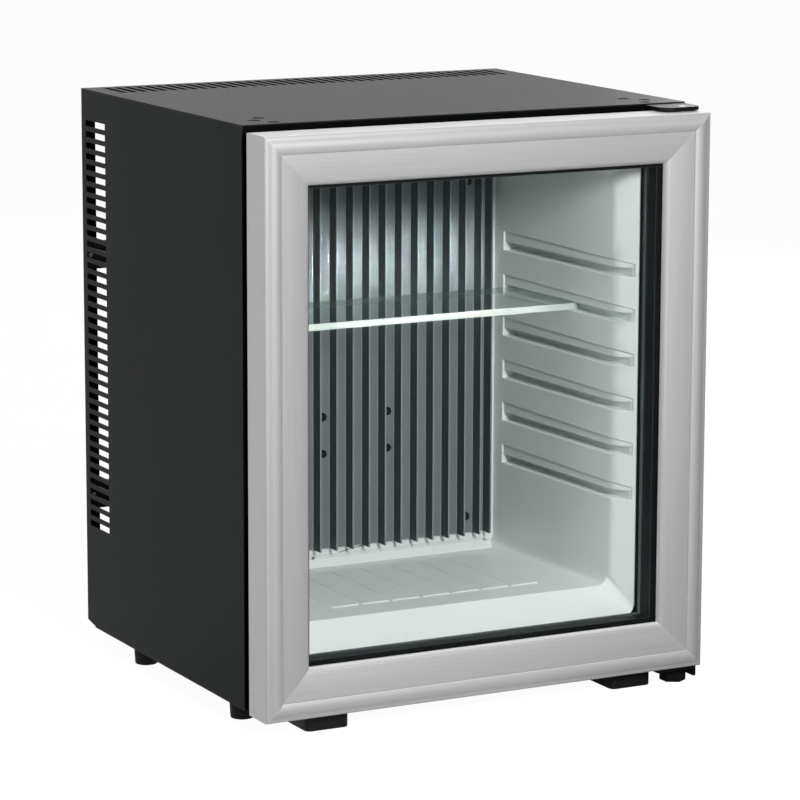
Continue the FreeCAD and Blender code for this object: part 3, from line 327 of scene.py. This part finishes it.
def node_copy(name, suffix, joined_flats=True):
    """Copy of a CAD node's mesh as closed skins, with each flat face in one piece where asked."""
    copy = bpy.data.objects.new(name + suffix, nodes[name].data.copy())
    bpy.context.collection.objects.link(copy)
    only(copy)
    bpy.ops.object.mode_set(mode="EDIT")
    bpy.ops.mesh.select_all(action="SELECT")
    bpy.ops.mesh.remove_doubles(threshold=0.000001)
    if joined_flats:
        bpy.ops.mesh.dissolve_limited(angle_limit=math.radians(0.5))
    bpy.ops.object.mode_set(mode="OBJECT")
    return copy


def stands_for(piece, name, material=None):
    """Gives a finished piece its node's place in the model, its finish and its body."""
    if material or not piece.data.materials:
        piece.data.materials.clear()
        piece.data.materials.append(material or nodes[name].material_slots[0].material)
    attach(piece, nodes[name]["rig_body"])
    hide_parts(name)


def softened(name, radius, steps=2, sharp=38.0, joined_flats=True):
    """The node's own shape with its outer edges rounded, as pressed, cut and moulded pieces have them."""
    piece = node_copy(name, "_soft", joined_flats)
    modified(piece, "BEVEL", width=radius, segments=steps, limit_method="ANGLE",
             angle_limit=math.radians(sharp), use_clamp_overlap=False)
    bpy.ops.object.shade_smooth_by_angle(angle=math.radians(sharp))
    modified(piece, "WEIGHTED_NORMAL", mode="FACE_AREA", weight=90, keep_sharp=True)
    stands_for(piece, name)
    return piece


def solids_of(name):
    """Lowest and highest corner of each separate solid in a node."""
    copy = node_copy(name, "_measured")
    bpy.ops.object.mode_set(mode="EDIT")
    bpy.ops.mesh.select_all(action="SELECT")
    bpy.ops.mesh.separate(type="LOOSE")
    bpy.ops.object.mode_set(mode="OBJECT")
    boxes = []
    for solid in list(bpy.context.selected_objects):
        places = [vertex.co for vertex in solid.data.vertices]
        boxes.append((Vector(min(p[axis] for p in places) for axis in range(3)),
                      Vector(max(p[axis] for p in places) for axis in range(3))))
        bpy.data.objects.remove(solid)
    return boxes


def pick(piece, test):
    """Leaves the piece in edit mode with only the faces selected whose middle and normal pass."""
    only(piece)
    bpy.ops.object.mode_set(mode="EDIT")
    bpy.ops.mesh.select_mode(type="FACE")
    bpy.ops.mesh.select_all(action="DESELECT")
    bpy.ops.object.mode_set(mode="OBJECT")
    for face in piece.data.polygons:
        face.select = test(face.center, face.normal)
    bpy.ops.object.mode_set(mode="EDIT")


def joined(pieces, name):
    """Several pieces as one, under its own name."""
    bpy.ops.object.select_all(action="DESELECT")
    for piece in pieces:
        piece.select_set(True)
    bpy.context.view_layer.objects.active = pieces[0]
    if len(pieces) > 1:
        bpy.ops.object.join()
    pieces[0].name = name
    return pieces[0]


def cross_screw(name, radius, height, shank, length, crown):
    """Cross-recessed screw standing on its point, the underside of its head at z = 0."""
    bpy.ops.mesh.primitive_cylinder_add(vertices=24, radius=radius, depth=height, location=(0, 0, height / 2))
    screw = bpy.context.object
    screw.name = name
    bpy.ops.object.transform_apply(location=True)
    pick(screw, lambda middle, normal: normal.z > 0.9)
    if crown:
        bpy.ops.mesh.bevel(offset=crown, segments=3)
    pick(screw, lambda middle, normal: normal.z < -0.9)
    bpy.ops.mesh.inset(thickness=radius - shank)
    bpy.ops.mesh.extrude_region_move(TRANSFORM_OT_translate={"value": (0, 0, -length * 0.85)})
    bpy.ops.mesh.extrude_region_move(TRANSFORM_OT_translate={"value": (0, 0, -length * 0.15)})
    bpy.ops.transform.resize(value=(0.25, 0.25, 1), center_override=(0, 0, -length))
    bpy.ops.object.mode_set(mode="OBJECT")
    for turn in (0, math.pi / 2):
        bpy.ops.mesh.primitive_cube_add(size=1, location=(0, 0, height), rotation=(0, 0, turn))
        cutter = bpy.context.object
        cutter.scale = (radius * 1.15, radius * 0.26, height * 1.1)
        bpy.ops.object.transform_apply()
        pick(cutter, lambda middle, normal: normal.z < -0.9)
        bpy.ops.transform.resize(value=(0.6, 0.6, 1))
        bpy.ops.object.mode_set(mode="OBJECT")
        modified(screw, "BOOLEAN", operation="DIFFERENCE", object=cutter, solver="EXACT")
        bpy.data.objects.remove(cutter)
    bpy.ops.object.shade_smooth_by_angle(angle=math.radians(32))
    return screw


def screws_at(name, model, turn, head_face):
    """Stands a copy of the modelled screw at every solid of a screw node."""
    copies = []
    for low, high in solids_of(name):
        copy = model.copy()
        copy.data = model.data.copy()
        bpy.context.collection.objects.link(copy)
        only(copy)
        copy.rotation_euler = turn
        copy.location = head_face(low, high)
        bpy.ops.object.transform_apply()
        copies.append(copy)
    bpy.data.objects.remove(model)
    stands_for(joined(copies, name + "_crossed"), name)


def mitred_ring(name, low, high, section):
    """A closed section swept round an upright rectangle, given as each line's inset and depth."""
    middle = (low + high) / 2
    wide, tall = (high.x - low.x) / 2, (high.z - low.z) / 2
    inset, depth = section[0]
    bpy.ops.mesh.primitive_plane_add(size=2, location=(middle.x, low.y + depth, middle.z),
                                     rotation=(math.pi / 2, 0, 0))
    ring = bpy.context.object
    ring.name = name
    bpy.ops.object.transform_apply()
    bpy.ops.object.mode_set(mode="EDIT")
    bpy.ops.transform.resize(value=(wide - inset, 1, tall - inset), center_override=middle)
    bpy.ops.mesh.delete(type="ONLY_FACE")
    bpy.ops.mesh.select_mode(type="EDGE")
    bpy.ops.mesh.select_all(action="SELECT")
    for (inset, depth), (next_inset, next_depth) in zip(section, section[1:]):
        bpy.ops.mesh.extrude_edges_move(TRANSFORM_OT_translate={"value": (0, next_depth - depth, 0)})
        bpy.ops.transform.resize(value=((wide - next_inset) / (wide - inset), 1,
                                        (tall - next_inset) / (tall - inset)), center_override=middle)
    bpy.ops.mesh.select_all(action="DESELECT")
    bpy.ops.mesh.select_non_manifold()
    bpy.ops.mesh.bridge_edge_loops()
    bpy.ops.mesh.select_all(action="SELECT")
    bpy.ops.mesh.normals_make_consistent(inside=False)
    bpy.ops.object.mode_set(mode="OBJECT")
    bpy.ops.object.shade_smooth_by_angle(angle=math.radians(50))
    return ring


def weld_bead(middle, radius, turn, thickness=0.0012):
    """Uneven bead of weld round a tube."""
    bpy.ops.mesh.primitive_torus_add(location=middle, rotation=turn, major_radius=radius,
                                     minor_radius=thickness, major_segments=40, minor_segments=8)
    bead = bpy.context.object
    bpy.ops.object.transform_apply()
    bpy.ops.object.mode_set(mode="EDIT")
    bpy.ops.mesh.select_all(action="SELECT")
    bpy.ops.transform.vertex_random(offset=thickness * 0.3, uniform=0.1, normal=0.9, seed=7)
    bpy.ops.object.mode_set(mode="OBJECT")
    bpy.ops.object.shade_smooth()
    return bead


LINER_EDGE_RADIUS = 0.0008
EDGE_RADII = {
    0.0006: "evaporation_cup stabiliser_blocks",
    0.0008: "round_feet glass_shelf control_box control_box_lid",
    0.0003: "cold_plate hinge_plate_upper levelling_nut",
    0.001: "hinge_bracket_lower",
    0.0005: "thermostat_knob hole_plugs door_side_plug",
}
for radius, names in EDGE_RADII.items():
    for name in names.split():
        softened(name, radius)
softened("inner_liner", LINER_EDGE_RADIUS, joined_flats=False)

GASKET_SECTION = (
    (0.0040, 0.0000), (0.0016, 0.0009), (0.0034, 0.0021), (0.0012, 0.0033), (0.0000, 0.0050),
    (0.0000, 0.0080), (0.0007, 0.0087), (0.0193, 0.0087), (0.0200, 0.0080), (0.0200, 0.0050),
    (0.0186, 0.0038), (0.0166, 0.0026), (0.0184, 0.0013), (0.0160, 0.0000),
)
bellows = mitred_ring("bellows_gasket", *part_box("door_gasket"), GASKET_SECTION)
stands_for(bellows, "door_gasket", gasket_black)

UPRIGHT = (0, 0, 0)
TO_FRONT = (math.pi / 2, 0, 0)
TO_BACK = (-math.pi / 2, 0, 0)
TO_FLOOR = (math.pi, 0, 0)
AROUND_X = (0, math.pi / 2, 0)


def middle_of(low, high, **kept):
    """The middle of a box, with the named coordinates taken instead of its own."""
    middle = (low + high) / 2
    return Vector((kept.get("x", middle.x), kept.get("y", middle.y), kept.get("z", middle.z)))


PLATE_HEAD, SMALL_HEAD, TOP_HEAD = 0.002, 0.0015, 0.0024
plate_screw = cross_screw("plate_screw", 0.0036, PLATE_HEAD, shank=0.0018, length=0.014, crown=0.0009)
screws_at("cold_plate_screws", plate_screw, TO_FRONT,
          lambda low, high: middle_of(low, high, y=low.y + PLATE_HEAD))
base_screw = cross_screw("base_screw", 0.0036, SMALL_HEAD, shank=0.002, length=0.0205, crown=0.0007)
screws_at("base_screws", base_screw, TO_FLOOR,
          lambda low, high: middle_of(low, high, z=low.z + SMALL_HEAD))
bar_screw = cross_screw("bar_screw", 0.0036, SMALL_HEAD, shank=0.002, length=0.003, crown=0.0007)
screws_at("unit_bar_screws", bar_screw, TO_BACK,
          lambda low, high: middle_of(low, high, y=high.y - SMALL_HEAD))
top_screw = cross_screw("top_screw", 0.0047, TOP_HEAD, shank=0.002, length=0.0044, crown=0.0004)
screws_at("hinge_screws", top_screw, UPRIGHT,
          lambda low, high: middle_of(low, high, z=high.z - TOP_HEAD))

DIAL_NUMBERS = "012345"
DIAL_TURN = math.radians(270)
DIAL_RADIUS = 0.0185
FIGURE_HEIGHT, FIGURE_RELIEF, FIGURE_WEIGHT = 0.0062, 0.00025, 0.00006
POINTER_SIZE, POINTER_RADIUS, POINTER_ROUNDING = (0.0012, 0.0004, 0.006), 0.0085, 0.00015
knob_low, knob_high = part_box("thermostat_knob")
knob_middle = (knob_low + knob_high) / 2
lid_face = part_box("control_box_lid")[1].y


def dial_place(share, radius, depth):
    """A place round the knob, from the lowest setting at share 0 to the highest at 1, seen from behind."""
    angle = (0.5 - share) * DIAL_TURN
    across, up = radius * math.sin(angle), radius * math.cos(angle)
    return Vector((knob_middle.x + across, depth, knob_middle.z + up))


figures = []
for place, figure in enumerate(DIAL_NUMBERS):
    share = place / (len(DIAL_NUMBERS) - 1)
    bpy.ops.object.text_add(location=dial_place(share, DIAL_RADIUS, lid_face),
                            rotation=(math.pi / 2, 0, math.pi))
    mark = bpy.context.object
    mark.data.body = figure
    mark.data.align_x, mark.data.align_y = "CENTER", "CENTER"
    mark.data.size = FIGURE_HEIGHT
    mark.data.extrude = FIGURE_RELIEF
    mark.data.offset = FIGURE_WEIGHT
    bpy.ops.object.convert(target="MESH")
    bpy.ops.object.transform_apply()
    figures.append(bpy.context.object)
dial = joined(figures, "dial_figures")
dial.data.materials.clear()
dial.data.materials.append(bush_white)
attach(dial, "cabinet")

bpy.ops.mesh.primitive_cube_add(size=1, location=dial_place(1.0, POINTER_RADIUS, knob_high.y))
pointer = bpy.context.object
pointer.name = "knob_pointer"
pointer.scale = POINTER_SIZE
pointer.rotation_euler = (0, -0.5 * DIAL_TURN, 0)
bpy.ops.object.transform_apply()
modified(pointer, "BEVEL", width=POINTER_ROUNDING, segments=2)
pointer.data.materials.append(bush_white)
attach(pointer, "knob")

jacket_low, jacket_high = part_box("boiler_jacket")
boiler_low, boiler_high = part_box("boiler_tube")
tank_low, tank_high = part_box("absorber_tank")
SEAM_INSET = 0.012
BEAD_CLEARANCE = 0.0004
boiler_bead = (boiler_high.x - boiler_low.x) / 2 + BEAD_CLEARANCE
tank_radius = (tank_high.y - tank_low.y) / 2
beads = [
    weld_bead(middle_of(jacket_low, jacket_high, z=jacket_high.z), boiler_bead, UPRIGHT),
    weld_bead(middle_of(jacket_low, jacket_high, z=jacket_low.z), boiler_bead, UPRIGHT),
    weld_bead(middle_of(tank_low, tank_high, x=tank_low.x + SEAM_INSET), tank_radius, AROUND_X),
    weld_bead(middle_of(tank_low, tank_high, x=tank_high.x - SEAM_INSET), tank_radius, AROUND_X),
]
welds = joined(beads, "weld_beads")
welds.data.materials.append(enamel_black)
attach(welds, "cabinet")


WHITE = (1, 1, 1, 1)
FLOOR_GLOW = 0.8
FLOOR_WHITE = 1.2
SOFT_LIGHT = 0.14
DARK_SIDES = (((-0.82, -0.57, 0.0), 0.1, 0.9, 0.8), ((0.9, -0.44, 0.0), 0.5, 1.0, 0.1))


def ray_kinds(tree):
    """Two values: 1 for rays that see the plain white background, and 1 for rays of gloss."""
    path = node(tree, "LightPath")
    plain = node(tree, "Math", {0: path.outputs["Is Camera Ray"], 1: path.outputs["Is Transmission Ray"]},
                 operation="ADD", use_clamp=True).outputs[0]
    return plain, path.outputs["Is Glossy Ray"]


def room_brightness(tree, towards):
    """How bright the studio looks in gloss: white, but darker towards each of the dark sides.

    Each has a direction, the cosines where the fading starts and ends, and the brightness at its end.
    """
    straight = node(tree, "VectorMath", {0: towards}, operation="NORMALIZE").outputs["Vector"]
    share = 1.0
    for side, start, end, darkest in DARK_SIDES:
        facing = node(tree, "VectorMath", {0: straight, 1: side}, operation="DOT_PRODUCT").outputs["Value"]
        fading = node(tree, "MapRange", {"Value": facing, "From Min": start, "From Max": end,
                                         "To Min": 1.0, "To Max": darkest},
                      interpolation_type="SMOOTHSTEP").outputs["Result"]
        share = node(tree, "Math", {0: fading, 1: share}, operation="MULTIPLY").outputs[0]
    return share


def studio_floor():
    """Pale floor that looks white from anywhere and still takes a faint shadow."""
    bpy.ops.mesh.primitive_plane_add(size=60, location=(0, 0, 0))
    floor = bpy.context.object
    floor.name = "studio_floor"
    material = bpy.data.materials.new("studio floor")
    material.use_nodes = True
    tree = material.node_tree
    tree.nodes.remove(tree.nodes["Principled BSDF"])
    pale = ranged(tree, mottle(tree, 0.4), 0.53, 0.57)
    colour = node(tree, "CombineXYZ", {0: pale, 1: pale, 2: pale}).outputs[0]
    lit = node(tree, "BsdfDiffuse", {"Color": colour})
    plain, gloss = ray_kinds(tree)
    room = room_brightness(tree, node(tree, "TexCoord").outputs["Object"])
    glow = node(tree, "Emission", {"Color": WHITE, "Strength": FLOOR_WHITE})
    shine = node(tree, "Emission", {"Color": WHITE, "Strength": room})
    share = node(tree, "Math", {0: plain, 1: FLOOR_GLOW}, operation="MULTIPLY").outputs[0]
    seen = node(tree, "MixShader", {0: share, 1: lit.outputs[0], 2: glow.outputs[0]})
    whole = node(tree, "MixShader", {0: gloss, 1: seen.outputs[0], 2: shine.outputs[0]})
    tree.links.new(whole.outputs[0], tree.nodes["Material Output"].inputs["Surface"])
    floor.data.materials.append(material)


def studio_world():
    """White background with a soft light, weaker than the white that shows."""
    world = bpy.data.worlds.new("studio")
    bpy.context.scene.world = world
    world.use_nodes = True
    tree = world.node_tree
    tree.nodes.remove(tree.nodes["Background"])
    plain, gloss = ray_kinds(tree)
    room = room_brightness(tree, node(tree, "TexCoord").outputs["Generated"])
    white = node(tree, "Background", {"Color": WHITE, "Strength": 1.0})
    shine = node(tree, "Background", {"Color": WHITE, "Strength": room})
    soft = node(tree, "Background", {"Color": WHITE, "Strength": SOFT_LIGHT})
    seen = node(tree, "MixShader", {0: plain, 1: soft.outputs[0], 2: white.outputs[0]})
    whole = node(tree, "MixShader", {0: gloss, 1: seen.outputs[0], 2: shine.outputs[0]})
    tree.links.new(whole.outputs[0], tree.nodes["World Output"].inputs["Surface"])


def studio_lamp(name, place, target, size, power, height=None, spread=180.0):
    """Soft square lamp, or one behind a grid where a height and a spread in degrees are given."""
    bpy.ops.object.light_add(type="AREA", location=place)
    lamp = bpy.context.object
    lamp.name = name
    lamp.data.shape = "RECTANGLE"
    lamp.data.size = size
    lamp.data.size_y = height or size
    lamp.data.spread = math.radians(spread)
    lamp.data.energy = power
    lamp.rotation_euler = (Vector(target) - Vector(place)).to_track_quat("-Z", "Y").to_euler()


CAMERA_PLACE = (-1.379, -2.6438, 0.7862)
CAMERA_YAW, CAMERA_PITCH, CAMERA_ROLL = 0.4839, 0.1858, -0.003
CAMERA_LENS = 163.02


def studio_camera():
    """Camera at the photograph's place, worked out from the fridge's corners."""
    level = math.cos(CAMERA_PITCH)
    forward = Vector((math.sin(CAMERA_YAW) * level, math.cos(CAMERA_YAW) * level, -math.sin(CAMERA_PITCH)))
    tilt = Quaternion((0, 0, 1), -CAMERA_ROLL)
    bpy.ops.object.camera_add(location=CAMERA_PLACE)
    camera = bpy.context.object
    camera.rotation_euler = (forward.to_track_quat("-Z", "Y") @ tilt).to_euler()
    camera.data.lens = CAMERA_LENS
    camera.data.clip_start = 0.05
    bpy.context.scene.camera = camera


FRIDGE_MIDDLE = (0, 0, 0.25)
studio_floor()
studio_world()
studio_lamp("left lamp", (-2.1, -0.8, 0.7), FRIDGE_MIDDLE, 0.4, 8.0)
studio_lamp("front lamp", (-0.14, -1.5, 0.86), FRIDGE_MIDDLE, 0.3, 24.5)
studio_lamp("strip lamp", (-0.01, -1.1, 0.332), (-0.01, 0, 0.332), 0.25, 0.1, height=0.05, spread=4.0)
studio_lamp("rear lamp", (1.7, 1.5, 0.9), FRIDGE_MIDDLE, 0.8, 10.0)
studio_lamp("top lamp", (-0.6, -0.6, 2.4), (0, 0, 0.3), 1.4, 6.0)
studio_camera()
bpy.context.scene.view_settings.view_transform = "Standard"
bpy.context.scene.cycles.transparent_max_bounces = 24
